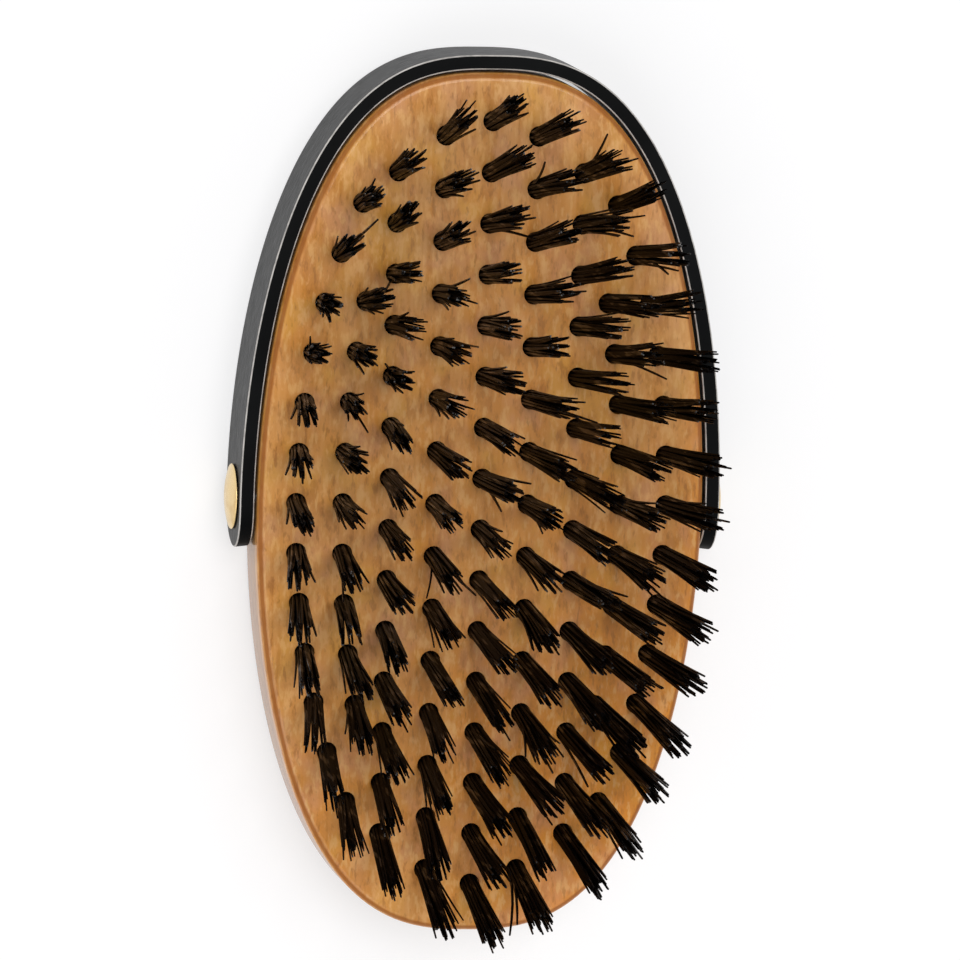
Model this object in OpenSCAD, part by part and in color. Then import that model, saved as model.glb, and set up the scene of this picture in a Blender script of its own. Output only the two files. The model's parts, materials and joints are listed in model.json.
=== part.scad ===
// Oval palm brush for shining shoes: a wooden block with tufts held in drilled
// holes, and a leather hand strap that swings on two dome-headed nails.
// The brush lies on its back. +Z is the way the bristles point, +Y is the end
// that the strap is stowed round, and the origin is the centre of the flat back.

/* [Block] */
// Length of the oval block
block_l = 140; // [115:1:170]
// Width of the oval block
block_w = 73.2; // [62:0.2:88]
// Thickness of the block, back to face
block_t = 15; // [14:0.5:20]
// Fullness of the outline across the block, where 2 is an ellipse
side_fullness = 2.7; // [2:0.1:3.4]
// Fullness of the outline along the block
end_fullness = 2; // [1.8:0.1:2.6]
// Radius of the edge round the face
face_round = 1.3; // [0.5:0.1:1.8]
// How far the back edge is drawn in
back_draw = 2; // [0.5:0.5:5]
// Height of the drawn-in part of the wall
back_round_h = 5; // [2:0.5:11]

/* [Tufts] */
// Number of tufts in the middle row
middle_count = 16; // [8:2:16]
// Distance from the ends of the block to the last tufts of the middle row
end_inset = 7.75; // [6:0.25:12]
// Distance from the sides of the block to the outer rows at their middle
side_inset = 6.25; // [5:0.25:9]
// Distance from the ends of the block to where the curved rows would meet
curve_inset = 2.8; // [1:0.1:6]
// Width of a tuft where it leaves the block
tuft_d = 3.2; // [2:0.1:3.6]
// Width over which a tuft's strands spread at the tip
tuft_tip_d = 4.6; // [3.2:0.1:5.4]
// Height of the bristles above the face
bristle_h = 24; // [10:1:36]
// Thickness of one modelled strand
strand_d = 1.1; // [0.5:0.1:1.1]
// Lean of the tufts across the block, in degrees at the outer rows
side_lean = 8; // [0:0.5:10]
// Lean of the tufts along the block, in degrees at the last tufts
end_lean = 13; // [0:0.5:15]
// Depth of the holes that hold the tufts
hole_depth = 6; // [4:0.5:6]

/* [Anchors] */
// Width of the flat wire anchor, which bites into the wood at both ends
anchor_w = 4.1; // [3.8:0.1:4.6]
// Thickness of the anchor
anchor_t = 0.4; // [0.2:0.1:0.6]
// Height of the anchor on the floor of its hole
anchor_h = 1.6; // [0.8:0.2:2]

/* [Hand strap] */
// Width of the leather band
strap_w = 14; // [11:0.5:14]
// Thickness of the leather
strap_t = 2.4; // [1.5:0.1:4]
// Gap between the stowed strap and the block
strap_gap = 0.45; // [0.4:0.05:0.8]
// Height of the nails, and so of the strap's middle, above the back
nail_z = 7.4; // [7.2:0.1:7.8]
// Length of strap behind the nail
strap_tail = 8.1; // [7.5:0.1:14]

/* [Nails] */
// Diameter of the domed brass cap
cap_d = 10.6; // [8:0.1:12]
// Height of the cap at its middle
cap_h = 1.2; // [1:0.1:3]
// Height of the cap at its rim
cap_rim_h = 0.3; // [0.2:0.1:0.5]
// Diameter of the steel shank
shank_d = 1.8; // [1.2:0.1:2]
// Length of shank inside the wood
shank_l = 12; // [8:0.5:16]
// Diameter of the flat head that the cap is pressed over
head_d = 4.4; // [3:0.1:6]
// Thickness of the flat head
head_t = 0.5; // [0.3:0.1:0.6]

/* [Clearances] */
// Radial room of a tuft in its hole
hole_clearance = 0.05; // [0.02:0.01:0.1]
// Radial room of the shank in the strap, on which the strap turns
swing_clearance = 0.05; // [0.02:0.01:0.1]
// Radial room of the shank in its pilot hole and of its head in the cap
press_clearance = 0.02; // [0.01:0.01:0.05]
// Gap between the strap and the underside of the cap
cap_clearance = 0.1; // [0.05:0.05:0.4]

/* [Hidden] */
$fn = 48;
outline_points = 72;
back_steps = 6;
edge_steps = 3;
dome_steps = 5;
cut_over = 1;
tuft_sides = 6;
strand_sides = 3;
strands_per_tuft = 4;
strand_root = 1;
tuft_proud = 0.3;
strand_turn = 50;
tip_length = 2.5;
outer_rows = 4;
row_count = 2 * outer_rows + 1;
// Tufts that each row has fewer than the middle one, from the middle outwards
row_short = [0, 1, 2, 7, 3];
// Spacing of the tufts in each row as a share of the middle one's, from the middle outwards
row_spacing = [1, 1.03, 1, 0.99, 0.98];

row_pitch = (block_w / 2 - side_inset) / outer_rows;
tuft_pitch = (block_l - 2 * end_inset) / (middle_count - 1);
curve_half_l = block_l / 2 - curve_inset;
strap_z = nail_z - strap_w / 2;
strap_out = strap_gap + strap_t;
cap_seat = block_w / 2 + strap_out + cap_clearance;
dome_h = cap_h - cap_rim_h;
dome_r = ((cap_d / 2) ^ 2 + dome_h ^ 2) / (2 * dome_h);
recess_r = head_d / 2 + press_clearance;
shaft_r = shank_d / 2;
hole_r = tuft_d / 2 + hole_clearance;
plug_bottom = anchor_h - hole_depth;
strand_r = strand_d / 2;
root_ring = tuft_d / 2 * cos(180 / tuft_sides) - strand_r;
tip_ring = tuft_tip_d / 2 - strand_r;

// Value raised to a power, with its sign kept
function signed_power(value, power) = sign(value) * abs(value) ^ power;

// Oval outline of the block, grown outwards by a distance
function outline(grow) = [
    for (i = [0:outline_points - 1])
        let (a = 360 * i / outline_points)
            [
                (block_w / 2 + grow) * signed_power(cos(a), 2 / side_fullness),
                (block_l / 2 + grow) * signed_power(sin(a), 2 / end_fullness)
            ]
];

// Steps up the block's wall, each as [how far it is drawn in, height]
function wall_steps() = concat(
    [[back_draw, -cut_over]],
    [
        for (i = [0:back_steps])
            let (a = 90 * i / back_steps)
                [back_draw * (1 - sin(a)), back_round_h * (1 - cos(a))]
    ],
    [
        for (i = [0:edge_steps])
            let (a = 90 * i / edge_steps)
                [face_round * (1 - cos(a)), block_t - face_round * (1 - sin(a))]
    ],
    [[face_round, block_t + cut_over]]
);

// Closed body through rings of equally many points, lowest ring first
module rings_body(rings) {
    n = len(rings[0]);
    last = len(rings) - 1;
    points = [for (ring = rings) each ring];
    sides = [
        for (k = [0:last - 1], i = [0:n - 1])
            let (j = (i + 1) % n)
                each [
                    [k * n + i, (k + 1) * n + j, k * n + j],
                    [k * n + i, (k + 1) * n + i, (k + 1) * n + j]
                ]
    ];
    floor_face = [for (i = [0:n - 1]) i];
    roof_face = [for (i = [0:n - 1]) last * n + n - 1 - i];
    polyhedron(points, concat([floor_face, roof_face], sides));
}

// Number of tufts in a row, counted outwards from the middle row
function row_tufts(out) = middle_count - row_short[out];

// Distance of a tuft from the middle of the block, measured across
function tuft_x(out, y) = out * row_pitch * (out > 2 ? sqrt(1 - (y / curve_half_l) ^ 2) : 1);

// Every tuft of a row as [x, y], from the strap's end down
function row_places(row) =
    let (
        side = row - 1 - outer_rows,
        out = abs(side),
        count = row_tufts(out)
    )
        [
            for (i = [0:count - 1])
                let (y = ((count - 1) / 2 - i) * tuft_pitch * row_spacing[out])
                    [sign(side) * tuft_x(out, y), y]
        ];

// Lean of a tuft in degrees as [across, along]
function lean(place) = [
    side_lean * place.x / (outer_rows * row_pitch),
    end_lean * place.y / (block_l / 2 - end_inset)
];

// Puts its children at a tuft's place on the face, standing along its lean
module at_tuft(place) {
    tilt = lean(place);
    translate([place.x, place.y, block_t])
        rotate([-tilt.y, tilt.x, 0])
            children();
}

// Puts its children on both nails' seats, with +Z pointing away from the block
module at_nails() {
    for (turn = [0, 180])
        rotate([0, 0, turn])
            translate([cap_seat, 0, nail_z])
                rotate([0, 90, 0])
                    children();
}

// Hole for one tuft, six-sided like the bound root, from its floor to above the face
module tuft_hole() {
    translate([0, 0, -hole_depth])
        cylinder(r = hole_r, h = hole_depth + 2 * cut_over, $fn = tuft_sides);
}

// One strand, a straight prism that leans out from the root ring to the tip ring
module strand(direction, length) {
    spread = atan((tip_ring - root_ring) / length);
    rotate([0, 0, direction])
        translate([root_ring, 0, tuft_proud - strand_root])
            rotate([0, spread, 0])
                cylinder(r = strand_r, h = length - tuft_proud + strand_root, $fn = strand_sides);
}

// One tuft: the bound root inside the hole, fused with its strands
module tuft(place, index) {
    tilt = lean(place);
    length = bristle_h / (cos(tilt.x) * cos(tilt.y));
    translate([0, 0, plug_bottom])
        cylinder(d = tuft_d, h = tuft_proud - plug_bottom, $fn = tuft_sides);
    for (i = [0:strands_per_tuft - 1])
        strand(index * strand_turn + 360 * i / strands_per_tuft, length);
}

// Wooden block with the tuft holes and the nails' pilot holes
module block() {
    color("#c9813f")
        difference() {
            intersection() {
                rings_body([
                    for (step = wall_steps())
                        [for (p = outline(-step[0])) [p.x, p.y, step[1]]]
                ]);
                translate([-block_w, -block_l, 0])
                    cube([2 * block_w, 2 * block_l, block_t]);
            }
            for (row = [1:row_count], place = row_places(row))
                at_tuft(place)
                    tuft_hole();
            at_nails()
                translate([0, 0, -(cap_seat - block_w / 2 + shank_l + cut_over)])
                    cylinder(r = shaft_r + press_clearance, h = cap_seat + shank_l);
        }
}

// One row of bristle tufts along the block
module bristle_row(row) {
    places = row_places(row);
    color("#1b1716")
        for (i = [0:len(places) - 1])
            at_tuft(places[i])
                tuft(places[i], i + row);
}

// The flat wire anchors under one row of tufts
module anchor_row(row) {
    color("#b9bcc0")
        for (place = row_places(row))
            at_tuft(place)
                translate([-anchor_w / 2, -anchor_t / 2, -hole_depth])
                    cube([anchor_w, anchor_t, anchor_h]);
}

// Side view of the strap: its edges, and the round tail behind the nail
module strap_side_view() {
    tail_centre = strap_w / 2 - strap_tail;
    translate([tail_centre, nail_z])
        circle(d = strap_w);
    translate([tail_centre, strap_z])
        square([block_l, strap_w]);
}

// Leather strap, bent round the end of the block, with a hole for each nail
module hand_strap() {
    color("#232124")
        difference() {
            intersection() {
                translate([0, 0, strap_z])
                    linear_extrude(strap_w)
                        difference() {
                            polygon(outline(strap_out));
                            polygon(outline(strap_gap));
                        }
                rotate([90, 0, 90])
                    linear_extrude(2 * block_w, center = true)
                        strap_side_view();
            }
            at_nails()
                cylinder(r = shaft_r + swing_clearance, h = 4 * strap_out, center = true);
        }
}

// Half section of a cap: the recess, the flat underside, the rim and the dome
module cap_section() {
    rim_angle = asin(cap_d / 2 / dome_r);
    dome = [
        for (i = [0:dome_steps])
            let (a = rim_angle * (1 - i / dome_steps))
                [dome_r * sin(a), cap_h - dome_r * (1 - cos(a))]
    ];
    polygon(concat([[0, head_t], [recess_r, head_t], [recess_r, 0], [cap_d / 2, 0]], dome));
}

// Brass caps of the two nails, each with a recess for the steel head
module nail_caps() {
    color("#d9b45a")
        at_nails()
            rotate_extrude()
                cap_section();
}

// Steel shanks of the two nails, each with its flat head and its point
module nail_shanks() {
    depth = cap_seat - block_w / 2 + shank_l;
    color("#8d8f92")
        at_nails() {
            cylinder(d = head_d, h = head_t);
            translate([0, 0, tip_length - depth])
                cylinder(r = shaft_r, h = depth - tip_length + head_t / 2);
            translate([0, 0, -depth])
                cylinder(r1 = 0, r2 = shaft_r, h = tip_length);
        }
}

block();
for (row = [1:row_count]) {
    bristle_row(row);
    anchor_row(row);
}
hand_strap();
nail_caps();
nail_shanks();
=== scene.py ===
"""Oval shoe shine brush: a varnished block with drilled holes, 118 tufts of black
bristle in nine rows, and a black leather hand strap on two brass-headed nails."""

import json
import math

import bmesh
import bpy
import numpy as np
from bpy.props import FloatProperty, FloatVectorProperty, IntProperty, PointerProperty
from mathutils import Matrix, Vector


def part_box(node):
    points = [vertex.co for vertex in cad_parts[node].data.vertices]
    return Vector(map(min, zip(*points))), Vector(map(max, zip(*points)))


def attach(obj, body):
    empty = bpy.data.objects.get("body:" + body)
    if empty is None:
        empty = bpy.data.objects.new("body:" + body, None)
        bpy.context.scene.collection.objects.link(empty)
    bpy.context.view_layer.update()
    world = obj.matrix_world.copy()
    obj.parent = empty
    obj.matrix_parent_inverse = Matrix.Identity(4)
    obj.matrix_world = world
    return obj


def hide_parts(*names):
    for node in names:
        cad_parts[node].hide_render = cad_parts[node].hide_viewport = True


bl_info = {
    "name": "Shoe Shine Brush",
    "version": (1, 0, 0),
    "blender": (4, 5, 0),
    "location": "View3D > Sidebar > Brush",
    "description": "Makes an oval shoe shine brush round its packed solids",
    "category": "Add Mesh",
}

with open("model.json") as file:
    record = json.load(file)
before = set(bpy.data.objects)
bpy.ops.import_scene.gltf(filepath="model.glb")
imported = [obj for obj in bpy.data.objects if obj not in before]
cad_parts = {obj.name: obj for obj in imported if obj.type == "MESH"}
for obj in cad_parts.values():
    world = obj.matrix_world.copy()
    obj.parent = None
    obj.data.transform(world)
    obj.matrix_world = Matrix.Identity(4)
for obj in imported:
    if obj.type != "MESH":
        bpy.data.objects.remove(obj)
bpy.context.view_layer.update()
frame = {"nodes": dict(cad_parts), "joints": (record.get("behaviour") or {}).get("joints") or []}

# Rows of tufts: how many lie on each side of the middle row, how many tufts fewer than
# the middle row each has, and how far apart its tufts are beside the middle row's.
OUTER_ROWS = 4
ROWS = range(1, 2 * OUTER_ROWS + 2)
MIDDLE_COUNT = 16
ROW_SHORT = (0, 1, 2, 7, 3)
ROW_SPACING = (1.0, 1.03, 1.0, 0.99, 0.98)

# Fineness of drilled holes and strands, and how far a drill stands out of the wood.
HOLE_SIDES = 20
NAIL_HOLE_SIDES = 24
STRAND_SIDES = 4
STRAND_POINTS = 6
DRILL_OVER = 0.002

# Strands wind outwards by the golden angle, and each tuft starts at a turn of its own.
# They fan out faster towards the tips, which taper.
GOLDEN_TURN = 2.39996
TUFT_TURN = 1.7
ROW_SEED = 17
FAN_POWER = 1.4
FAN_RANGE = (0.75, 1.15)
TIP_TAPER = 0.15
TIP_TAPER_POWER = 5.0

# Neighbouring tips drift together along a noise, which differs from tuft to tuft.
DRIFT_SCALE = 520.0
DRIFT_STRENGTH = 2.4
DRIFT_SHIFT = (3.1, 5.7, 1.3)

# Half turns between which the strap is looked for round the outline, the steps taken
# there, how far below its ends they go, and the steps among which its end lies.
STRAP_SWEEP = (-0.3, 1.3)
SWEEP_STEPS = 6001
SWEEP_OVER = 0.001
END_STEPS = 100

# Rings beside the strap's rounded corners that keep the faces flat, in corner radii.
FACE_RING = 1.6
EDGE_RING = 1.3

FLAT = (1.0, 1.0, 0.0)
WHITE = (1.0, 1.0, 1.0, 1.0)

block_low, block_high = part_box("block")
strap_low, strap_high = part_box("hand_strap")
caps_low, caps_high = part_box("nail_caps")
strap_joint = next(j for j in frame["joints"] if j["name"] == "strap_swing")
nail_z = strap_joint["pos_m"][2]


def length(label, text, default, low=0.0, high=0.3):
    """A property for a length, in metres."""
    return FloatProperty(
        name=label,
        description=text,
        default=default,
        min=low,
        max=high,
        subtype="DISTANCE",
        unit="LENGTH",
        precision=5,
    )


def plain(label, text, default, low=0.0, high=100.0):
    """A property for a number without a unit."""
    return FloatProperty(name=label, description=text, default=default, min=low, max=high)


def count(label, text, default, low=1, high=2000):
    """A property for a whole number."""
    return IntProperty(name=label, description=text, default=default, min=low, max=high)


def angle(label, text, degrees):
    """A property for an angle, given in degrees."""
    return FloatProperty(
        name=label,
        description=text,
        default=math.radians(degrees),
        subtype="ANGLE",
        unit="ROTATION",
    )


def colour(label, text, default):
    """A property for a linear colour."""
    return FloatVectorProperty(
        name=label,
        description=text,
        default=default,
        size=3,
        min=0.0,
        max=1.0,
        subtype="COLOR",
    )


def spot(label, text, default):
    """A property for a place, in metres."""
    return FloatVectorProperty(
        name=label,
        description=text,
        default=default,
        size=3,
        subtype="TRANSLATION",
        unit="LENGTH",
    )


class BlockSettings(bpy.types.PropertyGroup):
    """Sizes and colours of the wooden block."""

    block_l: length("Length", "Length of the block", block_high.y - block_low.y)
    block_w: length("Width", "Width of the block", block_high.x - block_low.x)
    block_t: length("Thickness", "Thickness, back to face", block_high.z - block_low.z)
    side_fullness: plain("Side fullness", "Fullness across, 2 for an ellipse", 2.7)
    end_fullness: plain("End fullness", "Fullness along, 2 for an ellipse", 2.0)
    face_round: length("Face edge", "Radius of the edge round the face", 0.0013)
    back_draw: length("Back draw", "How far the back edge is drawn in", 0.002)
    back_round_h: length("Back round", "Height of the drawn-in wall", 0.005)
    hole_depth: length("Hole depth", "Depth of the tufts' holes", 0.006)
    hole_width: length("Hole width", "Width of the tufts' holes", 0.0033)
    pilot_width: length("Pilot width", "Width of the nails' pilot holes", 0.00184)
    pilot_depth: length("Pilot depth", "Depth of the nails' pilot holes", 0.0122)
    outline_points: count("Outline points", "Points round the outline", 288)
    wall_steps: count("Wall steps", "Steps up the drawn-in wall", 16)
    edge_steps: count("Edge steps", "Steps round the face's edge", 8)
    pale_wood: colour("Pale wood", "Colour of the pale grain", (0.760, 0.455, 0.195))
    dark_wood: colour("Dark wood", "Colour of the dark grain", (0.570, 0.268, 0.076))
    # The warm colour lies in patches and also along the length, where it leaves the strap's end
    # paler, partly as painted sheen from the key lamp.
    warm_wood: colour("Warm wood", "Colour of the warmer patches", (0.740, 0.262, 0.026))
    pink_wood: colour("Pink wood", "Colour of the pinker patches", (0.66, 0.31, 0.17))
    gold_wood: colour("Golden wood", "Colour of the yellower patches", (0.76, 0.39, 0.055))
    smudge: colour("Smudges", "Colour of the dark mottling", (0.46, 0.165, 0.030))
    # Pale mottling: partly the wood's figure, partly painted glints of the varnish.
    figure_and_glint: colour("Glints", "Colour of the pale mottling", (0.86, 0.47, 0.18))
    fleck: colour("Flecks", "Colour of the short pale flecks", (0.84, 0.47, 0.17))
    pore: colour("Pores", "Colour of the short dark pores", (0.34, 0.12, 0.026))
    wall_wood: colour("Wall wood", "Colour that dulls the wall", (0.28, 0.155, 0.085))
    # Dark colour painted on the face's rounded edge as shade, where the edge turns down towards the
    # wall.
    edge_shade_wood: colour("Edge wood", "Colour of the face's rounded edge", (0.320, 0.092, 0.008))


class BristleSettings(bpy.types.PropertyGroup):
    """Places, sizes and colour of the bristle tufts."""

    end_inset: length("End inset", "Ends of the block to the last tufts", 0.00775)
    side_inset: length("Side inset", "Sides of the block to the outer rows", 0.00625)
    curve_inset: length("Curve inset", "Ends to where curved rows would meet", 0.0028)
    side_lean: angle("Side lean", "Lean across, at the outer rows", 8.0)
    end_lean: angle("End lean", "Lean along, at the last tufts", 13.0)
    height: length("Height", "Height above the face", 0.024)
    root_depth: length("Root depth", "Depth of the strands in the hole", 0.0043)
    root_width: length("Root width", "Width of a tuft at the face", 0.0029)
    tip_width: length("Tip width", "Width of a tuft at the tips", 0.0044)
    strand_width: length("Strand width", "Thickness of one bristle", 0.00046)
    strands: count("Strands", "Bristles in a tuft", 34)
    clump: length("Clumping", "How far neighbouring bristles drift together", 0.0012)
    gather: plain("Gather", "How closely the tips stand in bunches", 0.45, high=1.0)
    bunch_pitch: length("Bunch pitch", "Distance between bunches of tips", 0.0015)
    stray_reach: length("Stray reach", "How far a stray bristle bends out", 0.0038)
    stray_share: plain("Stray share", "Share of bristles that stray", 0.008, high=1.0)
    wander: length("Wander", "How far a whole tuft's tips wander", 0.0009)
    ragged: length("Ragged", "How much shorter some bristles are", 0.0024)
    tone: colour("Colour", "Colour of the bristles", (0.0016, 0.0012, 0.0013))


class StrapSettings(bpy.types.PropertyGroup):
    """Sizes and colours of the leather hand strap."""

    gap: length("Gap", "Room between the stowed strap and the block", 0.00045)
    thickness: length("Thickness", "Thickness of the leather", 0.0024)
    edge_round: length("Edge round", "Radius of the rounded corners", 0.00026)
    hole_width: length("Hole width", "Width of the nails' holes", 0.0019)
    grain_depth: length("Grain depth", "Height of the leather's grain", 0.00012)
    stations: count("Stations", "Steps along the strap", 260)
    round_steps: count("Round steps", "Steps round each corner", 5)
    tail_steps: count("Tail steps", "Steps round each tail", 18)
    leather: colour("Leather", "Colour of the leather", (0.0030, 0.0033, 0.0036))
    # Pale colour painted on the rounded corners as a highlight, standing in for the white surround
    # that their gloss reflects.
    corner: colour("Corners", "Colour of the worn corners", (0.640, 0.610, 0.580))


class NailSettings(bpy.types.PropertyGroup):
    """Sizes and colours of the nails."""

    rim: length("Rim height", "Height of the cap at its rim", 0.0003)
    lip: length("Lip", "Size of the bevel on the rim", 0.00008)
    clearance: length("Clearance", "Room between a cap and the strap", 0.0001)
    head_width: length("Head width", "Width of the steel head's recess", 0.00444)
    head_depth: length("Head depth", "Depth of the steel head's recess", 0.0005)
    dome_steps: count("Dome steps", "Steps up the dome", 14)
    turn_steps: count("Turn steps", "Steps round a cap", 72)
    brass: colour("Brass", "Colour of the brass", (0.80, 0.60, 0.30))
    steel: colour("Steel", "Colour of the steel", (0.42, 0.42, 0.43))
    wire: colour("Wire", "Colour of the anchor wire", (0.55, 0.55, 0.54))


class StudioSettings(bpy.types.PropertyGroup):
    """Camera, floor and lights."""

    camera_place: spot("Camera place", "Place of the camera", (-0.3348, 0.2472, 1.8008))
    camera_turn: FloatVectorProperty(
        name="Camera turn",
        description="Turn of the camera about X, Y and Z",
        default=(math.radians(-7.955), math.radians(-10.365), math.radians(1.804)),
        size=3,
        subtype="EULER",
        unit="ROTATION",
    )
    lens: plain("Lens", "Focal length in millimetres", 425.3, high=2000.0)
    floor_size: length("Floor size", "Side of the floor", 6.0, high=20.0)
    floor_drop: length("Floor drop", "Distance of the floor below the block's back", 0.00002)
    floor_tone: colour("Floor", "Colour of the floor as it lights the brush", (0.8, 0.8, 0.8))
    shade_tone: colour("Floor shade", "Part of the seen floor that takes shade", (0.42, 0.42, 0.43))
    floor_glow: plain("Floor glow", "Part of the seen floor that is always white", 0.59)
    key_place: spot("Key place", "Place of the lamp above the strap's end", (0.10, 0.32, 1.25))
    key_size: length("Key size", "Width of the key lamp", 0.7, high=5.0)
    key_power: plain("Key light", "Power of the key lamp, in watts", 8.0)
    fill_place: spot("Fill place", "Place of the lamp at the lower left", (-0.35, -0.45, 1.0))
    fill_size: length("Fill size", "Width of the fill lamp", 0.8, high=5.0)
    fill_power: plain("Fill light", "Power of the fill lamp, in watts", 3.5)
    lamp_tone: colour("Lamp colour", "Colour of both lamps", (1.0, 0.985, 0.96))
    world_tone: colour("World colour", "Colour of the surrounding light", (0.97, 0.98, 1.0))
    world_strength: plain("World", "Strength of the surrounding light", 0.42)


class BrushSettings(bpy.types.PropertyGroup):
    """All settings of the brush."""

    block: PointerProperty(type=BlockSettings)
    bristles: PointerProperty(type=BristleSettings)
    strap: PointerProperty(type=StrapSettings)
    nails: PointerProperty(type=NailSettings)
    studio: PointerProperty(type=StudioSettings)


def signed_power(values, power):
    """Values raised to a power, with their signs kept."""
    return np.sign(values) * np.abs(values) ** power


def outline_at(angles, grow):
    """Points of the block's oval outline at these angles, grown outwards by a distance."""
    block = bpy.context.scene.shine_brush.block
    x = (block.block_w / 2 + grow) * signed_power(np.cos(angles), 2 / block.side_fullness)
    y = (block.block_l / 2 + grow) * signed_power(np.sin(angles), 2 / block.end_fullness)
    return np.stack([x, y], axis=1)


def lengths_along(points):
    """Distance of each point from the first one, measured along the line."""
    steps = np.linalg.norm(np.diff(points, axis=0), axis=1)
    return np.concatenate([[0.0], np.cumsum(steps)])


def even_angles(number):
    """Angles at which points lie evenly round the outline."""
    dense = np.linspace(0.0, 2 * math.pi, 8 * number + 1)
    along = lengths_along(outline_at(dense, 0.0))
    wanted = np.linspace(0.0, along[-1], number, endpoint=False)
    return np.interp(wanted, along, dense)


def new_object(name, mesh):
    """A mesh object in the scene, at the origin."""
    obj = bpy.data.objects.new(name, mesh)
    bpy.context.scene.collection.objects.link(obj)
    return obj


def mesh_from(name, bm):
    """Turns a finished bmesh into a mesh."""
    mesh = bpy.data.meshes.new(name)
    bm.to_mesh(mesh)
    bm.free()
    return mesh


def settle(obj):
    """Applies an object's modifiers, so that it holds a plain mesh."""
    bpy.context.view_layer.update()
    graph = bpy.context.evaluated_depsgraph_get()
    mesh = bpy.data.meshes.new_from_object(obj.evaluated_get(graph))
    obj.modifiers.clear()
    obj.data = mesh
    mesh.name = obj.name


def cut(obj, cutters):
    """Cuts one closed mesh out of another."""
    cutter = new_object("cutter", cutters)
    modifier = obj.modifiers.new("cut", "BOOLEAN")
    modifier.operation = "DIFFERENCE"
    modifier.solver = "EXACT"
    modifier.object = cutter
    settle(obj)
    bpy.data.objects.remove(cutter)


def add_ring(bm, points):
    """Adds vertices for a ring of points."""
    return [bm.verts.new(p) for p in points]


def bridge(bm, lower, upper, smooth=True):
    """Joins two closed rings of equally many vertices with quads."""
    for i, start in enumerate(lower):
        j = (i + 1) % len(lower)
        face = bm.faces.new((start, lower[j], upper[j], upper[i]))
        face.smooth = smooth


def add_circle(bm, place, radius, z, steps):
    """Adds vertices for a circle about a matrix's Z axis."""
    points = []
    for i in range(steps):
        turn = 2 * math.pi * i / steps
        points.append(place @ Vector((radius * math.cos(turn), radius * math.sin(turn), z)))
    return add_ring(bm, points)


def add_rod(bm, place, radius, low, high, sides):
    """Adds a closed rod along a matrix's Z axis, from low to high."""
    rings = [add_circle(bm, place, radius, z, sides) for z in (low, high)]
    bridge(bm, rings[0], rings[1])
    bm.faces.new(list(reversed(rings[0])))
    bm.faces.new(rings[1])


def finish_piece(piece, material, body, node):
    """Gives a piece its material, puts it under its body, and hides the node it stands in for."""
    piece.data.materials.clear()
    piece.data.materials.append(material)
    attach(piece, body)
    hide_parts(node)


def tuft_places(row):
    """Tufts of a row from the strap's end down, each as its seat and its two leans."""
    settings = bpy.context.scene.shine_brush
    block = settings.block
    tufts = settings.bristles
    side = row - 1 - OUTER_ROWS
    out = abs(side)
    number = MIDDLE_COUNT - ROW_SHORT[out]
    pitch = (block.block_w / 2 - tufts.side_inset) / OUTER_ROWS
    last_y = block.block_l / 2 - tufts.end_inset
    step = 2 * last_y / (MIDDLE_COUNT - 1)
    curve_half = block.block_l / 2 - tufts.curve_inset
    places = []
    for i in range(number):
        y = ((number - 1) / 2 - i) * step * ROW_SPACING[out]
        bow = math.sqrt(1 - (y / curve_half) ** 2) if out > 2 else 1.0
        x = side * pitch * bow
        lean = (-tufts.end_lean * y / last_y, tufts.side_lean * x / (OUTER_ROWS * pitch), 0.0)
        places.append((Vector((x, y, block.block_t)), lean))
    return places


def lean_matrix(seat, lean):
    """Matrix that stands things on a tuft's seat, along its lean."""
    turn_y = Matrix.Rotation(lean[1], 4, "Y")
    turn_x = Matrix.Rotation(lean[0], 4, "X")
    return Matrix.Translation(seat) @ turn_y @ turn_x


def facing_out(side, distance):
    """Matrix that stands things out of the block's left or right side, at a nail."""
    turn = Matrix.Rotation(side * math.pi / 2, 4, "Y")
    return Matrix.Translation((side * distance, 0.0, nail_z)) @ turn


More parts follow.
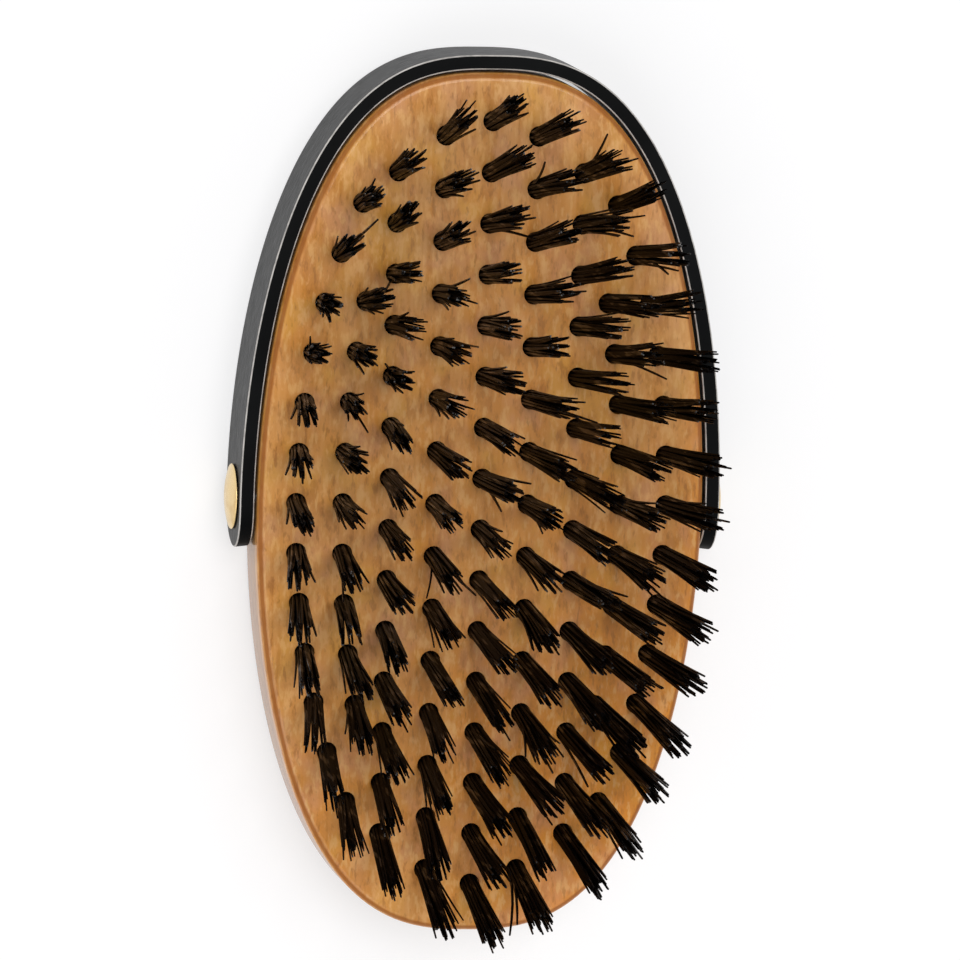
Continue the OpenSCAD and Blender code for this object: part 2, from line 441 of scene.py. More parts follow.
class Nodes:
    """A short way to add and join a material's or a geometry tree's nodes."""

    def __init__(self, tree):
        self.tree = tree
        self.column = 0

    def add(self, kind, values=None, **settings):
        """Adds a node, sets its properties, then its inputs by index or name."""
        node = self.tree.nodes.new(kind)
        node.location = (180 * (self.column % 12), -220 * (self.column // 12))
        self.column += 1
        for key, value in settings.items():
            setattr(node, key, value)
        for key, value in (values or {}).items():
            self.put(node.inputs[key], value)
        return node

    def made(self, kind, values=None, **settings):
        """Adds a node and gives its first output."""
        return self.add(kind, values, **settings).outputs[0]

    def put(self, socket, value):
        """Sets an input to a constant, or joins it to an output."""
        if isinstance(value, bpy.types.NodeSocket):
            self.tree.links.new(value, socket)
        else:
            socket.default_value = value

    def math(self, operation, a, b=0.0, c=0.0):
        """The output of a Math node."""
        return self.made("ShaderNodeMath", {0: a, 1: b, 2: c}, operation=operation)

    def times(self, a, b):
        """One value times another."""
        return self.math("MULTIPLY", a, b)

    def vector(self, operation, a, b=(0.0, 0.0, 0.0)):
        """The output of a Vector Math node that gives a vector."""
        return self.made("ShaderNodeVectorMath", {0: a, 1: b}, operation=operation)

    def joined(self, x, y, z):
        """A vector from its three parts."""
        return self.made("ShaderNodeCombineXYZ", {0: x, 1: y, 2: z})

    def parts(self, vector):
        """The three parts of a vector."""
        return self.add("ShaderNodeSeparateXYZ", {0: vector}).outputs

    def scaled(self, vector, factor):
        """A vector times a number."""
        return self.made("ShaderNodeVectorMath", {0: vector, "Scale": factor}, operation="SCALE")

    def mix(self, factor, a, b):
        """A mix of two colours."""
        node = self.add("ShaderNodeMix", data_type="RGBA")
        for socket, value in ((0, factor), (6, a), (7, b)):
            self.put(node.inputs[socket], value)
        return node.outputs[2]

    def ramp(self, value, low, high):
        """A value remapped to 0 at low and 1 at high, smoothly."""
        ends = {0: value, 1: low, 2: high}
        return self.made("ShaderNodeMapRange", ends, interpolation_type="SMOOTHSTEP")

    def share(self, value, low, high, most):
        """A value remapped smoothly to 0 at low and a given most at high."""
        return self.times(self.ramp(value, low, high), most)

    def place(self, scale=(1.0, 1.0, 1.0), turn=0.0):
        """Object coordinates, stretched, and turned about Z."""
        source = self.add("ShaderNodeTexCoord").outputs["Object"]
        values = {"Vector": source, "Scale": scale, "Rotation": (0.0, 0.0, turn)}
        return self.made("ShaderNodeMapping", values)

    def noise(self, scale, detail, roughness, turn=0.0):
        """A noise pattern with its scale in waves a metre along X, Y and Z."""
        values = {"Scale": 1.0, "Detail": detail, "Roughness": roughness}
        return self.made("ShaderNodeTexNoise", {"Vector": self.place(scale, turn), **values})

    def store(self, geometry, name, value, kind="FLOAT_VECTOR"):
        """Keeps a field on the points under a name."""
        values = {"Geometry": geometry, "Name": name, "Value": value}
        return self.made("GeometryNodeStoreNamedAttribute", values, data_type=kind, domain="POINT")

    def read(self, name, kind="FLOAT_VECTOR"):
        """The field kept under a name."""
        return self.made("GeometryNodeInputNamedAttribute", {"Name": name}, data_type=kind)

    def random(self, low, high, number, seed, row_seed):
        """A random number for each strand or tuft."""
        values = {2: low, 3: high, 7: number, 8: self.math("ADD", row_seed, float(seed))}
        return self.add("FunctionNodeRandomValue", values, data_type="FLOAT").outputs[1]

    def bump(self, height, distance, strength):
        """A bump normal from a height, with its depth in metres."""
        values = {"Height": height, "Distance": distance, "Strength": strength}
        return self.made("ShaderNodeBump", values)


def new_material(name, constants):
    """A material with a Principled shader whose plain values are set on its sockets."""
    material = bpy.data.materials.new(name)
    material.use_nodes = True
    nodes = Nodes(material.node_tree)
    shader = material.node_tree.nodes["Principled BSDF"]
    for socket, value in constants.items():
        shader.inputs[socket].default_value = value
    return material, nodes, shader


def rgba(values):
    """A colour with full opacity."""
    return (*values, 1.0)


def varnished_wood(block):
    """Straight-grained pale hardwood with short flecks, under a clear varnish."""
    material, nodes, shader = new_material(
        "varnished_wood",
        {
            "Specular IOR Level": 0.02,
            "Coat Weight": 1.0,
            "Coat Roughness": 0.20,
            "Coat IOR": 1.3,
        },
    )
    bands = nodes.noise((70.0, 4.5, 70.0), 4.0, 0.6, turn=0.03)
    fibres = nodes.noise((900.0, 26.0, 900.0), 3.0, 0.6, turn=0.03)
    flecks = nodes.noise((1000.0, 300.0, 1000.0), 3.0, 0.6, turn=0.35)
    clouds = nodes.noise((24.0, 13.0, 24.0), 2.0, 0.5)
    mottle = nodes.noise((420.0, 230.0, 420.0), 4.0, 0.6, turn=0.5)
    blush = nodes.noise((120.0, 80.0, 120.0), 3.0, 0.6)
    waves = nodes.noise((260.0, 90.0, 260.0), 2.0, 0.5)
    place = nodes.parts(nodes.place())
    along, height = place[1], place[2]
    broad = nodes.times(bands, 0.55)
    grain = nodes.math("ADD", broad, nodes.times(fibres, 0.45))
    tone = nodes.mix(nodes.ramp(grain, 0.36, 0.64), rgba(block.dark_wood), rgba(block.pale_wood))
    # Warmer from the strap's end towards the middle: partly the wood's own tone, partly painted
    # sheen that leaves the end under the key lamp paler.
    drift = nodes.share(along, 0.5 * block.block_l, 0.1 * block.block_l, 0.5)
    warmth = nodes.math("MULTIPLY_ADD", nodes.ramp(clouds, 0.36, 0.66), 0.4, drift)
    tone = nodes.mix(warmth, tone, rgba(block.warm_wood))
    face_z = block.block_t
    stains = (
        (blush, 0.50, 0.66, 0.45, block.pink_wood),
        (blush, 0.48, 0.32, 0.40, block.gold_wood),
        (mottle, 0.48, 0.34, 0.42, block.smudge),
        # The pale mottling is partly the wood's figure and partly painted glints of the varnish.
        (mottle, 0.54, 0.68, 0.60, block.figure_and_glint),
        (flecks, 0.52, 0.66, 0.60, block.fleck),
        (flecks, 0.46, 0.32, 0.50, block.pore),
        (height, 0.86 * face_z, 0.76 * face_z, 0.60, block.wall_wood),
    )
    for pattern, low, high, most, stain in stains:
        tone = nodes.mix(nodes.share(pattern, low, high, most), tone, rgba(stain))
    # Painted shade: a dark band on the face's rounded edge, below its crest, where it turns away
    # from the face.
    round_z = block.face_round
    rise = nodes.ramp(height, face_z - 0.60 * round_z, face_z - 0.30 * round_z)
    fall = nodes.share(height, face_z, face_z - 0.12 * round_z, 0.8)
    tone = nodes.mix(nodes.times(rise, fall), tone, rgba(block.edge_shade_wood))
    nodes.put(shader.inputs["Base Color"], tone)
    nodes.put(shader.inputs["Roughness"], nodes.math("MULTIPLY_ADD", fibres, 0.22, 0.34))
    nodes.put(shader.inputs["Normal"], nodes.bump(grain, 0.00004, 0.6))
    nodes.put(shader.inputs["Coat Normal"], nodes.bump(waves, 0.00006, 0.5))
    return material


def black_bristle(tufts):
    """Natural black bristle, some of it browner and glossier."""
    material, nodes, shader = new_material("black_bristle", {"Roughness": 0.40})
    streaks = nodes.noise((900.0, 900.0, 60.0), 2.0, 0.5)
    brown = tuple(2.2 * c for c in tufts.tone)
    tone = nodes.mix(nodes.ramp(streaks, 0.45, 0.8), rgba(tufts.tone), rgba(brown))
    nodes.put(shader.inputs["Base Color"], tone)
    gloss = nodes.math("MULTIPLY_ADD", nodes.ramp(streaks, 0.56, 0.68), 0.40, 0.02)
    nodes.put(shader.inputs["Specular IOR Level"], gloss)
    return material


def black_leather(strap):
    """Black bridle leather: glazed broad faces, dyed cut edges, and a pale highlight painted on its
    corners.
    """
    material, nodes, shader = new_material("black_leather", {})
    edge = nodes.add("ShaderNodeAttribute", attribute_name="edge").outputs["Fac"]
    pebbles = nodes.made("ShaderNodeTexVoronoi", {"Vector": nodes.place(), "Scale": 1500.0})
    creases = nodes.noise((420.0, 420.0, 900.0), 4.0, 0.6)
    wear = nodes.noise((60.0, 60.0, 120.0), 3.0, 0.55)
    worn = tuple(1.8 * c for c in strap.leather)
    tone = nodes.mix(nodes.ramp(wear, 0.42, 0.72), rgba(strap.leather), rgba(worn))
    # Painted highlight: the rounded corners between the broad faces and the cut edges get a pale
    # colour, broken up along the creases.
    rise = nodes.ramp(edge, 0.0, 0.35)
    fall = nodes.ramp(edge, 1.0, 0.75)
    breaks = nodes.math("MULTIPLY_ADD", nodes.ramp(creases, 0.3, 0.6), 0.4, 0.6)
    corner = nodes.times(nodes.times(rise, fall), breaks)
    nodes.put(shader.inputs["Base Color"], nodes.mix(corner, tone, rgba(strap.corner)))
    nodes.put(shader.inputs["Specular IOR Level"], nodes.math("MULTIPLY_ADD", edge, -0.11, 0.14))
    nodes.put(shader.inputs["Roughness"], nodes.math("MULTIPLY_ADD", creases, 0.20, 0.32))
    grain = nodes.math("ADD", nodes.times(pebbles, 0.5), creases)
    depth = nodes.math("MULTIPLY_ADD", edge, -0.4, 0.5)
    nodes.put(shader.inputs["Normal"], nodes.bump(grain, strap.grain_depth, depth))
    return material


def polished_brass(nails):
    """Pressed brass with fine scratches and a little dulling."""
    material, nodes, shader = new_material("brass", {"Metallic": 1.0})
    dull = nodes.noise((320.0, 320.0, 320.0), 3.0, 0.5)
    scratches = nodes.noise((300.0, 2600.0, 500.0), 2.0, 0.5)
    aged = tuple(c * f for c, f in zip(nails.brass, (0.82, 0.76, 0.66)))
    tone = nodes.mix(nodes.ramp(dull, 0.45, 0.75), rgba(nails.brass), rgba(aged))
    nodes.put(shader.inputs["Base Color"], tone)
    nodes.put(shader.inputs["Roughness"], nodes.math("MULTIPLY_ADD", dull, 0.24, 0.16))
    nodes.put(shader.inputs["Normal"], nodes.bump(scratches, 0.00001, 0.35))
    return material


def drawn_metal(name, tone, rough):
    """Drawn wire or rod, with marks along its length."""
    material, nodes, shader = new_material(name, {"Metallic": 1.0})
    marks = nodes.noise((120.0, 1600.0, 1600.0), 3.0, 0.6)
    dark = tuple(0.62 * c for c in tone)
    mixed = nodes.mix(nodes.ramp(marks, 0.4, 0.7), rgba(tone), rgba(dark))
    nodes.put(shader.inputs["Base Color"], mixed)
    nodes.put(shader.inputs["Roughness"], nodes.math("MULTIPLY_ADD", marks, 0.2, rough))
    nodes.put(shader.inputs["Normal"], nodes.bump(marks, 0.00002, 0.4))
    return material


class BRUSH_OT_block(bpy.types.Operator):
    """Make the wooden block with its drilled holes"""

    bl_idname = "shine_brush.block"
    bl_label = "Wooden Block"

    def execute(self, context):
        block = context.scene.shine_brush.block
        piece = new_object("wooden_block", self.body(block))
        cut(piece, self.drills(block))
        finish_piece(piece, varnished_wood(block), "brush", "block")
        return {"FINISHED"}

    def wall(self, block):
        """Steps up the wall, each as how far it is drawn in and its height."""
        steps = []
        for i in range(block.wall_steps + 1):
            a = math.pi / 2 * i / block.wall_steps
            inset = block.back_draw * (1 - math.sin(a))
            steps.append((inset, block.back_round_h * (1 - math.cos(a))))
        for i in range(block.edge_steps + 1):
            a = math.pi / 2 * i / block.edge_steps
            inset = block.face_round * (1 - math.cos(a))
            steps.append((inset, block.block_t - block.face_round * (1 - math.sin(a))))
        return steps

    def body(self, block):
        """The undrilled block."""
        angles = even_angles(block.outline_points)
        bm = bmesh.new()
        rings = []
        for inset, z in self.wall(block):
            rings.append(add_ring(bm, [(x, y, z) for x, y in outline_at(angles, -inset)]))
        for lower, upper in zip(rings, rings[1:]):
            bridge(bm, lower, upper)
        bm.faces.new(list(reversed(rings[0])))
        bm.faces.new(rings[-1])
        return mesh_from("wooden_block", bm)

    def drills(self, block):
        """Rods for all the holes, as one mesh."""
        bm = bmesh.new()
        hole_r = block.hole_width / 2
        pilot_r = block.pilot_width / 2
        for row in ROWS:
            for seat, lean in tuft_places(row):
                place = lean_matrix(seat, lean)
                add_rod(bm, place, hole_r, -block.hole_depth, DRILL_OVER, HOLE_SIDES)
        for side in (-1, 1):
            place = facing_out(side, block.block_w / 2)
            add_rod(bm, place, pilot_r, -block.pilot_depth, DRILL_OVER, NAIL_HOLE_SIDES)
        return mesh_from("drills", bm)


TUFT_SIZES = {
    "Strands": "strands",
    "Strand Width": "strand_width",
    "Root Width": "root_width",
    "Tip Width": "tip_width",
    "Height": "height",
    "Root Depth": "root_depth",
    "Clump": "clump",
    "Gather": "gather",
    "Bunch Pitch": "bunch_pitch",
    "Stray Reach": "stray_reach",
    "Stray Share": "stray_share",
    "Ragged": "ragged",
    "Wander": "wander",
}


class BRUSH_OT_bristles(bpy.types.Operator):
    """Make the nine rows of bristle tufts"""

    bl_idname = "shine_brush.bristles"
    bl_label = "Bristle Tufts"

    def execute(self, context):
        tufts = context.scene.shine_brush.bristles
        material = black_bristle(tufts)
        tree = self.tree()
        for row in ROWS:
            piece = new_object(f"bristle_tufts_{row}", self.seats(row))
            self.grow(piece, tree, tufts, material, row)
            settle(piece)
            finish_piece(piece, material, "brush", f"bristle_row_{row}")
        return {"FINISHED"}

    def seats(self, row):
        """One vertex on each tuft's seat, with its lean kept as an attribute."""
        places = tuft_places(row)
        mesh = bpy.data.meshes.new(f"tuft_seats_{row}")
        mesh.from_pydata([seat for seat, lean in places], [], [])
        attribute = mesh.attributes.new("lean", "FLOAT_VECTOR", "POINT")
        for item, (seat, lean) in zip(attribute.data, places):
            item.vector = lean
        return mesh

    def grow(self, piece, tree, tufts, material, row):
        """Adds the tuft tree to a row and sets its inputs."""
        modifier = piece.modifiers.new("tufts", "NODES")
        modifier.node_group = tree
        values = {label: getattr(tufts, name) for label, name in TUFT_SIZES.items()}
        values["Row Seed"] = ROW_SEED * row
        values["Material"] = material
        for item in tree.interface.items_tree:
            if item.name in values:
                modifier[item.identifier] = values[item.name]

    def tree(self):
        """Geometry nodes that grow a tuft of bent strands on every seat."""
        tree = bpy.data.node_groups.new("bristle_tuft", "GeometryNodeTree")
        kinds = {"Geometry": "Geometry", "Strands": "Int"}
        kinds.update({label: "Float" for label in TUFT_SIZES if label != "Strands"})
        kinds.update({"Row Seed": "Int", "Material": "Material"})
        for name, kind in kinds.items():
            tree.interface.new_socket(name, in_out="INPUT", socket_type=f"NodeSocket{kind}")
        tree.interface.new_socket("Geometry", in_out="OUTPUT", socket_type="NodeSocketGeometry")
        nodes = Nodes(tree)
        given = nodes.add("NodeGroupInput").outputs
        points = nodes.made("GeometryNodeMeshToPoints", {"Mesh": given["Geometry"]})
        place = nodes.made("GeometryNodeInputPosition")
        seated = nodes.store(points, "seat", place)
        number = nodes.made("GeometryNodeInputIndex")
        seated = nodes.store(seated, "tuft", number, "INT")
        copies = nodes.add(
            "GeometryNodeDuplicateElements",
            {"Geometry": seated, "Amount": given["Strands"]},
            domain="POINT",
        ).outputs
        root, tip = self.ends(nodes, given, copies["Duplicate Index"])
        shaped = nodes.store(copies[0], "root", root)
        shaped = nodes.store(shaped, "tip", tip)
        line = nodes.made("GeometryNodeCurvePrimitiveLine", {"End": (0.0, 0.0, 1.0)})
        line = nodes.made("GeometryNodeResampleCurve", {"Curve": line, "Count": STRAND_POINTS})
        placed = nodes.made("GeometryNodeInstanceOnPoints", {"Points": shaped, "Instance": line})
        curves = nodes.made("GeometryNodeRealizeInstances", {"Geometry": placed})
        bent = nodes.made(
            "GeometryNodeSetPosition",
            {"Geometry": curves, "Position": self.bend(nodes, given)},
        )
        profile = nodes.made(
            "GeometryNodeCurvePrimitiveCircle",
            {"Resolution": STRAND_SIDES, "Radius": 1.0},
        )
        along = nodes.made("GeometryNodeSplineParameter")
        late = nodes.math("POWER", along, TIP_TAPER_POWER)
        taper = nodes.math("MULTIPLY_ADD", late, -TIP_TAPER, 0.5)
        tube = nodes.made(
            "GeometryNodeCurveToMesh",
            {
                "Curve": bent,
                "Profile Curve": profile,
                "Scale": nodes.times(taper, given["Strand Width"]),
                "Fill Caps": True,
            },
        )
        facets = nodes.made("GeometryNodeSetShadeSmooth", {"Geometry": tube, "Shade Smooth": False})
        whole = nodes.made("GeometryNodeRealizeInstances", {"Geometry": facets})
        painted = nodes.made(
            "GeometryNodeSetMaterial",
            {"Geometry": whole, "Material": given["Material"]},
        )
        nodes.add("NodeGroupOutput", {"Geometry": painted})
        return tree

    def ends(self, nodes, given, strand):
        """Where each strand leaves the face and ends, seen along the tuft."""
        tuft = nodes.read("tuft", "INT")
        strand_id = nodes.math("MULTIPLY_ADD", tuft, given["Strands"], strand)
        row_seed = given["Row Seed"]
        share = nodes.math("DIVIDE", nodes.math("ADD", strand, 0.5), given["Strands"])
        reach = nodes.math("SQRT", share)
        tuft_id = nodes.math("ADD", tuft, row_seed)
        turned = nodes.times(tuft_id, TUFT_TURN)
        turn = nodes.math("MULTIPLY_ADD", strand, GOLDEN_TURN, turned)
        way = nodes.joined(nodes.math("COSINE", turn), nodes.math("SINE", turn), 0.0)
        half_reach = nodes.times(reach, 0.5)
        root = nodes.scaled(way, nodes.times(given["Root Width"], half_reach))
        fan = nodes.random(*FAN_RANGE, strand_id, 1, row_seed)
        tip_r = nodes.times(given["Tip Width"], half_reach)
        tip = nodes.scaled(way, nodes.times(tip_r, fan))
        shift = nodes.scaled(DRIFT_SHIFT, tuft_id)
        spread = nodes.vector("ADD", nodes.scaled(tip, DRIFT_SCALE), shift)
        cloud = nodes.add("ShaderNodeTexNoise", {"Vector": spread, "Scale": 1.0, "Detail": 1.0})
        clump = nodes.vector("SUBTRACT", cloud.outputs["Color"], (0.5, 0.5, 0.5))
        clump_size = nodes.times(given["Clump"], DRIFT_STRENGTH)
        tip = nodes.vector("ADD", tip, nodes.scaled(clump, clump_size))
        pitch = given["Bunch Pitch"]
        grid = nodes.joined(pitch, pitch, pitch)
        bunch = nodes.vector("SNAP", nodes.vector("ADD", tip, nodes.scaled(grid, 0.5)), grid)
        pull = nodes.vector("SUBTRACT", bunch, tip)
        tip = nodes.vector("ADD", tip, nodes.scaled(pull, given["Gather"]))
        wander = given["Wander"]
        back = nodes.times(wander, -1.0)
        drift_x = nodes.random(back, wander, tuft, 5, row_seed)
        drift_y = nodes.random(back, wander, tuft, 6, row_seed)
        tip = nodes.vector("ADD", tip, nodes.joined(drift_x, drift_y, 0.0))
        chance = nodes.random(0.0, 1.0, strand_id, 2, row_seed)
        stray = nodes.math("LESS_THAN", chance, given["Stray Share"])
        kick = nodes.times(stray, given["Stray Reach"])
        kick = nodes.times(kick, nodes.random(0.3, 1.0, strand_id, 3, row_seed))
        tip = nodes.vector("ADD", tip, nodes.scaled(way, kick))
        worn = nodes.random(0.0, 1.0, strand_id, 4, row_seed)
        cut_back = nodes.times(nodes.math("POWER", worn, 2.0), given["Ragged"])
        top = nodes.math("SUBTRACT", given["Height"], cut_back)
        flat_tip = nodes.vector("MULTIPLY", tip, FLAT)
        return root, nodes.vector("ADD", flat_tip, nodes.joined(0.0, 0.0, top))

    def bend(self, nodes, given):
        """Place of every point of a strand: bound in the hole, then fanning out."""
        along = nodes.made("GeometryNodeSplineParameter")
        root = nodes.read("root")
        tip = nodes.read("tip")
        top = nodes.parts(tip)[2]
        depth = given["Root Depth"]
        low = nodes.times(depth, -1.0)
        z = nodes.math("MULTIPLY_ADD", along, nodes.math("ADD", top, depth), low)
        share = nodes.math("DIVIDE", nodes.math("MAXIMUM", z, 0.0), top)
        fan = nodes.math("POWER", share, FAN_POWER)
        outwards = nodes.vector("SUBTRACT", nodes.vector("MULTIPLY", tip, FLAT), root)
        across = nodes.vector("ADD", root, nodes.scaled(outwards, fan))
        local = nodes.vector("ADD", across, nodes.joined(0.0, 0.0, z))
        lean = nodes.read("lean")
        turn = nodes.made("FunctionNodeEulerToRotation", {"Euler": lean})
        leant = nodes.made("FunctionNodeRotateVector", {"Vector": local, "Rotation": turn})
        return nodes.vector("ADD", leant, nodes.read("seat"))


class BRUSH_OT_strap(bpy.types.Operator):
    """Make the leather hand strap"""

    bl_idname = "shine_brush.strap"
    bl_label = "Hand Strap"

    def execute(self, context):
        strap = context.scene.shine_brush.strap
        piece = new_object("leather_strap", self.flat_band(strap))
        cut(piece, self.nail_holes(strap))
        self.wrap(piece.data, strap)
        finish_piece(piece, black_leather(strap), "strap", "hand_strap")
        return {"FINISHED"}

    def centre_line(self, strap):
        """Angles along the stowed strap with their distance from the right-hand tail."""
        first, last = STRAP_SWEEP
        angles = np.linspace(first * math.pi, last * math.pi, SWEEP_STEPS)
        points = outline_at(angles, strap.gap + strap.thickness / 2)
        kept = points[:, 1] >= strap_low.y - SWEEP_OVER
        angles = angles[kept]
        points = points[kept]
        along = lengths_along(points)
        start = np.interp(strap_low.y, points[:END_STEPS, 1], along[:END_STEPS])
        return angles, along - start

    def band_length(self, strap):
        """Length of the band from tail to tail, which is the same beyond both nails."""
        along = self.centre_line(strap)[1]
        return along[-1] + along[0]

    def flat_band(self, strap):
        """The band laid out flat: X along it, Y through it, Z across it."""
        total = self.band_length(strap)
        bm = bmesh.new()
        rings = []
        for inset, y in self.profile(strap):
            ring = [(s, y, nail_z + z) for s, z in self.contour(strap, total, inset)]
            rings.append(add_ring(bm, ring))
        for lower, upper in zip(rings, rings[1:]):
            bridge(bm, lower, upper)
        for ring in (rings[0], rings[-1]):
            self.fill(bm, ring)
        bmesh.ops.recalc_face_normals(bm, faces=bm.faces)
        return mesh_from("flat_band", bm)

    def contour(self, strap, total, inset):
        """The band's outline, drawn in by an inset: one long side, then back along the other."""
        half = (strap_high.z - strap_low.z) / 2
        reach = half - inset
        turns = np.linspace(0.0, math.pi / 2, strap.tail_steps, endpoint=False)
        middle = np.linspace(half, total - half, strap.stations)
        tail = reach * np.cos(turns)
        s = np.concatenate([half - tail, middle, total - half + tail[::-1]])
        rise = reach * np.sin(turns)
        z = np.concatenate([rise, np.full(strap.stations, reach), rise[::-1]])
        side = list(zip(s, z))
        return side + [(x, -y) for x, y in reversed(side[1:-1])]

    def profile(self, strap):
        """Steps from the inner broad face, round the edge, to the outer one."""
        radius = strap.edge_round
        near = [(FACE_RING * radius, 0.0)]
        for k in range(strap.round_steps + 1):
            a = math.pi / 2 * k / strap.round_steps
            near.append((radius * (1 - math.sin(a)), radius * (1 - math.cos(a))))
        near.append((0.0, EDGE_RING * radius))
        return near + [(inset, strap.thickness - y) for inset, y in reversed(near)]

    def fill(self, bm, ring):
        """Closes a ring with strips from one long side to the other."""
        number = len(ring)
        for i in range(number // 2):
            corners = (ring[i], ring[i + 1], ring[number - i - 1], ring[(number - i) % number])
            face = bm.faces.new(list(dict.fromkeys(corners)))
            face.smooth = True

    def wrap(self, mesh, strap):
        """Bends the flat band round the end of the block, and marks its cut edges.

        The attribute is 0 on the broad faces, 1 on the cut edges, and between on corners.
        """
        angles, along = self.centre_line(strap)
        flat = np.array([v.co for v in mesh.vertices])
        turn = np.interp(flat[:, 0], along, angles)
        depth = (flat[:, 1] - flat[:, 1].min()) / strap.thickness
        inner = outline_at(turn, strap.gap)
        outer = outline_at(turn, strap.gap + strap.thickness)
        bent = inner + (outer - inner) * depth[:, None]
        for vertex, (x, y) in zip(mesh.vertices, bent):
            vertex.co.x = x
            vertex.co.y = y
        near_face = strap.thickness * np.minimum(depth, 1 - depth)
        into = np.clip(1 - near_face / strap.edge_round, 0.0, 1.0)
        edge = mesh.attributes.new("edge", "FLOAT", "POINT")
        edge.data.foreach_set("value", np.arccos(into) / (math.pi / 2))
        bm = bmesh.new()
        bm.from_mesh(mesh)
        bmesh.ops.recalc_face_normals(bm, faces=bm.faces)
        bm.to_mesh(mesh)
        bm.free()

    def nail_holes(self, strap):
        """Rods through the flat band's two tails, which make the holes for the nails."""
        half = (strap_high.z - strap_low.z) / 2
        radius = strap.hole_width / 2
        reach = 2 * strap.thickness
        bm = bmesh.new()
        turn = Matrix.Rotation(math.pi / 2, 4, "X")
        for s in (half, self.band_length(strap) - half):
            place = Matrix.Translation((s, 0.0, nail_z)) @ turn
            add_rod(bm, place, radius, -reach, reach, NAIL_HOLE_SIDES)
        return mesh_from("nail_holes", bm)


class BRUSH_OT_nails(bpy.types.Operator):
    """Make the brass caps and finish the nails and anchor wires"""

    bl_idname = "shine_brush.nails"
    bl_label = "Nails and Anchors"

    def execute(self, context):
        nails = context.scene.shine_brush.nails
        piece = new_object("brass_caps", self.caps(nails))
        finish_piece(piece, polished_brass(nails), "brush", "nail_caps")
        steel = drawn_metal("nail_steel", nails.steel, 0.25)
        wire = drawn_metal("anchor_wire", nails.wire, 0.3)
        for name, node in frame["nodes"].items():
            if name == "nail_shanks":
                node.data.materials[0] = steel
            if name.startswith("anchor_row"):
                node.data.materials[0] = wire
        return {"FINISHED"}

    def section(self, nails):
        """Half section of a cap from the middle of its recess to the top of its dome."""
        radius = (caps_high.z - caps_low.z) / 2
        height = caps_high.x - self.seat_x(nails)
        rise = height - nails.rim
        dome_r = (radius**2 + rise**2) / (2 * rise)
        widest = math.asin(radius / dome_r)
        recess = nails.head_width / 2
        points = [(0.0, nails.head_depth), (recess, nails.head_depth), (recess, 0.0)]
        lip = nails.lip
        points += [(radius - lip, 0.0), (radius, lip), (radius, nails.rim - lip)]
        for i in range(nails.dome_steps):
            a = widest * (1 - (i + 0.3) / (nails.dome_steps + 0.3))
            points.append((dome_r * math.sin(a), height - dome_r * (1 - math.cos(a))))
        points.append((0.0, height))
        return points

    def seat_x(self, nails):
        """Distance of the caps' undersides from the middle of the block."""
        settings = bpy.context.scene.shine_brush
        strap = settings.strap
        return settings.block.block_w / 2 + strap.gap + strap.thickness + nails.clearance

    def caps(self, nails):
        """Both caps, turned from one section."""
        section = self.section(nails)
        bm = bmesh.new()
        for side in (-1, 1):
            place = facing_out(side, self.seat_x(nails))
            self.turned(bm, section, place, nails.turn_steps)
        bmesh.ops.recalc_face_normals(bm, faces=bm.faces)
        return mesh_from("brass_caps", bm)

    def turned(self, bm, section, place, steps):
        """Turns a half section whose ends lie on the axis. The recess and seat stay flat."""
        first = bm.verts.new(place @ Vector((0.0, 0.0, section[0][1])))
        last = bm.verts.new(place @ Vector((0.0, 0.0, section[-1][1])))
        rings = [add_circle(bm, place, radius, z, steps) for radius, z in section[1:-1]]
        for k, (lower, upper) in enumerate(zip(rings, rings[1:])):
            bridge(bm, lower, upper, smooth=k > 1)
        for i in range(steps):
            j = (i + 1) % steps
            bm.faces.new((first, rings[0][j], rings[0][i]))
            face = bm.faces.new((rings[-1][i], rings[-1][j], last))
            face.smooth = True


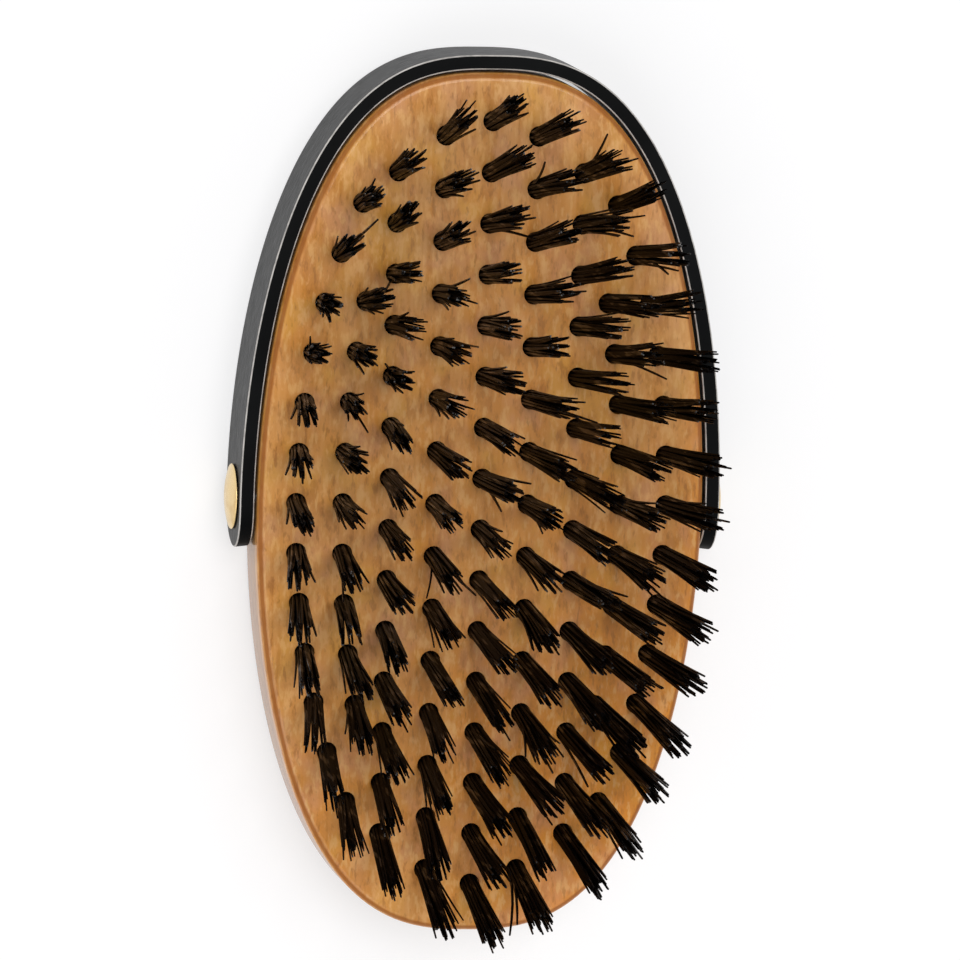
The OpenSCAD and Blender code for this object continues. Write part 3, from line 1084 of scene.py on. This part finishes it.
class BRUSH_OT_studio(bpy.types.Operator):
    """Make the floor, lights and camera"""

    bl_idname = "shine_brush.studio"
    bl_label = "Studio"

    def execute(self, context):
        studio = context.scene.shine_brush.studio
        self.floor(studio)
        self.world(context.scene, studio)
        self.lamp("key", studio.key_place, studio.key_size, studio.key_power, studio)
        self.lamp("fill", studio.fill_place, studio.fill_size, studio.fill_power, studio)
        self.camera(context.scene, studio)
        context.scene.view_settings.view_transform = "Standard"
        return {"FINISHED"}

    def switched(self, nodes, lighting, seen):
        """One shader for light on the brush, another for what the camera and gloss see."""
        path = nodes.add("ShaderNodeLightPath").outputs
        rays = nodes.math("MAXIMUM", path["Is Camera Ray"], path["Is Glossy Ray"])
        rays = nodes.math("MAXIMUM", rays, path["Is Transmission Ray"])
        return nodes.made("ShaderNodeMixShader", {0: rays, 1: lighting, 2: seen})

    def floor(self, studio):
        """A pale floor that looks white and still takes the shadow."""
        half = studio.floor_size / 2
        bm = bmesh.new()
        corners = ((-half, -half), (half, -half), (half, half), (-half, half))
        bm.faces.new(add_ring(bm, [(x, y, -studio.floor_drop) for x, y in corners]))
        floor = new_object("floor", mesh_from("floor", bm))
        material = bpy.data.materials.new("floor")
        material.use_nodes = True
        material.node_tree.nodes.clear()
        nodes = Nodes(material.node_tree)
        plain_floor = nodes.made("ShaderNodeBsdfDiffuse", {"Color": rgba(studio.floor_tone)})
        shadowed = nodes.made("ShaderNodeBsdfDiffuse", {"Color": rgba(studio.shade_tone)})
        glow = nodes.made("ShaderNodeEmission", {"Color": WHITE, "Strength": studio.floor_glow})
        white = nodes.made("ShaderNodeAddShader", {0: shadowed, 1: glow})
        surface = self.switched(nodes, plain_floor, white)
        nodes.add("ShaderNodeOutputMaterial", {"Surface": surface})
        floor.data.materials.append(material)

    def world(self, scene, studio):
        """An even white surround, full white where it is seen or reflected."""
        world = bpy.data.worlds.new("studio")
        world.use_nodes = True
        scene.world = world
        world.node_tree.nodes.clear()
        nodes = Nodes(world.node_tree)
        soft = nodes.made(
            "ShaderNodeBackground",
            {"Color": rgba(studio.world_tone), "Strength": studio.world_strength},
        )
        white = nodes.made("ShaderNodeBackground", {"Color": WHITE, "Strength": 1.0})
        nodes.add("ShaderNodeOutputWorld", {"Surface": self.switched(nodes, soft, white)})

    def lamp(self, name, place, size, power, studio):
        """A round soft lamp that points at the brush."""
        lamp = bpy.data.lights.new(name, "AREA")
        lamp.shape = "DISK"
        lamp.size = size
        lamp.energy = power
        lamp.color = studio.lamp_tone
        light = bpy.data.objects.new(name, lamp)
        bpy.context.scene.collection.objects.link(light)
        place = Vector(place)
        aim = place.to_track_quat("Z", "Y").to_matrix().to_4x4()
        light.matrix_world = Matrix.Translation(place) @ aim

    def camera(self, scene, studio):
        """The camera at the photograph's viewing angle."""
        lens = bpy.data.cameras.new("camera")
        lens.sensor_width = 36.0
        lens.sensor_fit = "HORIZONTAL"
        lens.lens = studio.lens
        lens.clip_start = 0.05
        lens.clip_end = 20.0
        camera = bpy.data.objects.new("camera", lens)
        camera.location = studio.camera_place
        camera.rotation_euler = studio.camera_turn
        scene.collection.objects.link(camera)
        scene.camera = camera


OPERATORS = (
    BRUSH_OT_block,
    BRUSH_OT_bristles,
    BRUSH_OT_strap,
    BRUSH_OT_nails,
    BRUSH_OT_studio,
)


class BRUSH_PT_panel(bpy.types.Panel):
    """Lists the pieces of the brush in the sidebar"""

    bl_idname = "BRUSH_PT_panel"
    bl_label = "Shoe Shine Brush"
    bl_space_type = "VIEW_3D"
    bl_region_type = "UI"
    bl_category = "Brush"

    def draw(self, context):
        settings = context.scene.shine_brush
        for kind in OPERATORS:
            self.layout.operator(kind.bl_idname)
        for name in ("block", "bristles", "strap", "nails", "studio"):
            group = getattr(settings, name)
            column = self.layout.column()
            for key in group.bl_rna.properties.keys():
                if key not in ("rna_type", "name"):
                    column.prop(group, key)


CLASSES = (
    BlockSettings,
    BristleSettings,
    StrapSettings,
    NailSettings,
    StudioSettings,
    BrushSettings,
    *OPERATORS,
    BRUSH_PT_panel,
)


def register():
    """Registers the classes and the scene's settings."""
    for kind in CLASSES:
        bpy.utils.register_class(kind)
    bpy.types.Scene.shine_brush = PointerProperty(type=BrushSettings)


def unregister():
    """Takes the settings and classes out again."""
    del bpy.types.Scene.shine_brush
    for kind in reversed(CLASSES):
        bpy.utils.unregister_class(kind)


def main():
    """Makes every piece, then the stage."""
    register()
    bpy.ops.shine_brush.block()
    bpy.ops.shine_brush.bristles()
    bpy.ops.shine_brush.strap()
    bpy.ops.shine_brush.nails()
    bpy.ops.shine_brush.studio()


if __name__ == "__main__":
    main()
